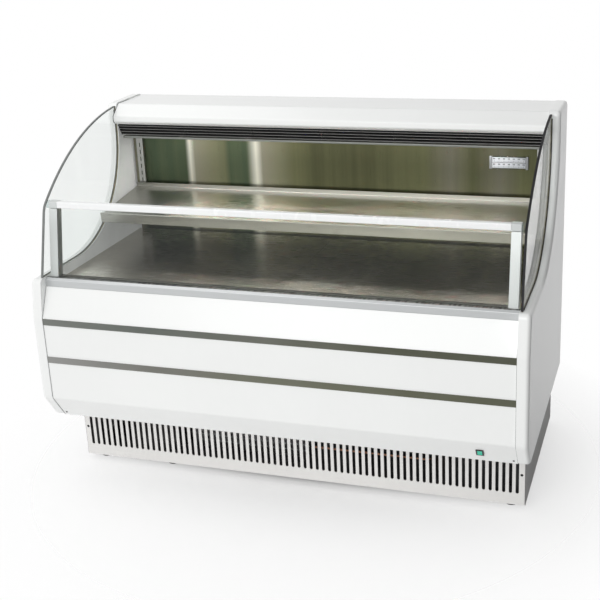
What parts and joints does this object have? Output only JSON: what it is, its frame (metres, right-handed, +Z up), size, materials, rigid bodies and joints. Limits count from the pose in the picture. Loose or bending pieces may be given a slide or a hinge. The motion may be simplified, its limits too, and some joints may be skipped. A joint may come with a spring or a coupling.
{
  "type": "refrigerated open display case",
  "caption": "Open-front refrigerated display case with curved glass ends, a low front glass, an upper shelf, an air louvre under the canopy and a slotted machine base.",
  "frame": {"origin": "on the floor, under the middle of the case's bounding box", "axes": "+X along the case to the customer's right, +Y to the rear, +Z up"},
  "size_m": [1.534, 0.8, 1.135],
  "materials": {
    "white_paint": "smooth white gloss powder coat",
    "skirt_grey": "satin grey steel, darker than the grille",
    "grille_satin": "light satin stainless",
    "frame_steel": "black painted tube",
    "galvanised": "zinc coated sheet",
    "stainless": "brushed stainless, grain along the case",
    "ledge_steel": "light satin stainless cap",
    "compressor_black": "black enamel",
    "rubber_black": "black rubber",
    "fin_aluminium": "thin bright fins",
    "motor_grey": "grey enamel",
    "fan_aluminium": "stamped blades",
    "copper": null,
    "plastic_black": "satin black moulding",
    "screw_dark": "black zinc",
    "rocker_green": "translucent lit green",
    "foam": null,
    "liner_white": "pale blue-white moulded liner",
    "glass_clear": "tempered clear glass with a pale green edge",
    "post_aluminium": "anodised satin",
    "rail_white": "white coated bar",
    "bracket_grey": "grey moulded block",
    "lamp_aluminium": "extruded carrier",
    "lamp_lens": "opal diffuser",
    "pipe_white": "white PVC",
    "holder_clear": "clear holder round a white card"
  },
  "bodies": {
    "case": {"base_frame": "frame_steel", "base_floor": "frame_steel", "base_skirts": "skirt_grey", "kick_grille": "grille_satin", "rear_vent_panel": "galvanised", "compressor": "compressor_black", "compressor_mounts": "rubber_black", "condenser_coil": "fin_aluminium", "condenser_shroud": "galvanised", "condenser_motor": "motor_grey", "refrigerant_pipes": "copper", "condensate_pan": "stainless", "control_box": "galvanised", "cord_gland": "plastic_black", "bottom_panel": "galvanised", "front_panel": "white_paint", "panel_screws": "screw_dark", "trim_strips": "stainless", "switch_housing": "plastic_black", "rear_panel": "galvanised", "insulation": "foam", "end_panel_right": "white_paint", "end_panel_left": "white_paint", "end_liners": "liner_white", "end_glass_right": "glass_clear", "end_glass_left": "glass_clear", "glass_gaskets": "rubber_black", "inner_tub": "stainless", "ledge_cap": "ledge_steel", "glass_posts": "post_aluminium", "front_glass": "glass_clear", "glass_rail": "rail_white", "rail_brackets": "bracket_grey", "deck_supports": "stainless", "shelf_brackets": "stainless", "shelf_standards": "stainless", "back_duct_panel": "stainless", "air_louvre": "plastic_black", "canopy_hood": "white_paint", "lamp_channel": "lamp_aluminium", "lamp_lens": "lamp_lens", "evaporator_coil": "fin_aluminium", "fan_plenum": "galvanised", "evaporator_motors": "motor_grey", "drain_pipe": "pipe_white", "strip_thermometer": "holder_clear"},
    "foot_front_left": {"foot_front_left": "rubber_black"},
    "foot_front_middle": {"foot_front_middle": "rubber_black"},
    "foot_front_right": {"foot_front_right": "rubber_black"},
    "foot_rear_left": {"foot_rear_left": "rubber_black"},
    "foot_rear_middle": {"foot_rear_middle": "rubber_black"},
    "foot_rear_right": {"foot_rear_right": "rubber_black"},
    "condenser_fan": {"condenser_fan": "fan_aluminium"},
    "evaporator_fan_left": {"evaporator_fan_left": "fan_aluminium"},
    "evaporator_fan_right": {"evaporator_fan_right": "fan_aluminium"},
    "deck_pan_left": {"deck_pan_left": "stainless"},
    "deck_pan_right": {"deck_pan_right": "stainless"},
    "return_grille": {"return_grille": "stainless"},
    "upper_shelf": {"upper_shelf": "stainless"},
    "rocker": {"switch_rocker": "rocker_green"}
  },
  "joints": [
    {"name": "foot_front_left_screw", "type": "slide", "parent": "case", "child": "foot_front_left", "axis": [0, 0, -1], "range_m": [0, 0.02]},
    {"name": "foot_front_middle_screw", "type": "slide", "parent": "case", "child": "foot_front_middle", "axis": [0, 0, -1], "range_m": [0, 0.02]},
    {"name": "foot_front_right_screw", "type": "slide", "parent": "case", "child": "foot_front_right", "axis": [0, 0, -1], "range_m": [0, 0.02]},
    {"name": "foot_rear_left_screw", "type": "slide", "parent": "case", "child": "foot_rear_left", "axis": [0, 0, -1], "range_m": [0, 0.02]},
    {"name": "foot_rear_middle_screw", "type": "slide", "parent": "case", "child": "foot_rear_middle", "axis": [0, 0, -1], "range_m": [0, 0.02]},
    {"name": "foot_rear_right_screw", "type": "slide", "parent": "case", "child": "foot_rear_right", "axis": [0, 0, -1], "range_m": [0, 0.02]},
    {"name": "rocker_tilt", "type": "hinge", "parent": "case", "child": "rocker", "pos_m": [0.626, -0.3646, 0.2641], "axis": [1, 0, 0], "range_deg": [0, 12]},
    {"name": "condenser_fan_spin", "type": "hinge", "parent": "case", "child": "condenser_fan", "pos_m": [-0.19, 0.015, 0.128], "axis": [0, -1, 0], "continuous": true},
    {"name": "evaporator_fan_left_spin", "type": "hinge", "parent": "case", "child": "evaporator_fan_left", "pos_m": [-0.26, -0.062, 0.367], "axis": [0, -1, 0], "continuous": true},
    {"name": "evaporator_fan_right_spin", "type": "hinge", "parent": "case", "child": "evaporator_fan_right", "pos_m": [0.26, -0.062, 0.367], "axis": [0, -1, 0], "continuous": true},
    {"name": "deck_pan_left_lift", "type": "slide", "parent": "case", "child": "deck_pan_left", "axis": [0, 0, 1], "range_m": [0, 0.08]},
    {"name": "deck_pan_right_lift", "type": "slide", "parent": "case", "child": "deck_pan_right", "axis": [0, 0, 1], "range_m": [0, 0.08]},
    {"name": "return_grille_lift", "type": "slide", "parent": "case", "child": "return_grille", "axis": [0, 0.1788, 0.9839], "range_m": [0, 0.06]},
    {"name": "upper_shelf_lift", "type": "slide", "parent": "case", "child": "upper_shelf", "axis": [0, 0, 1], "range_m": [0, 0.1]}
  ]
}
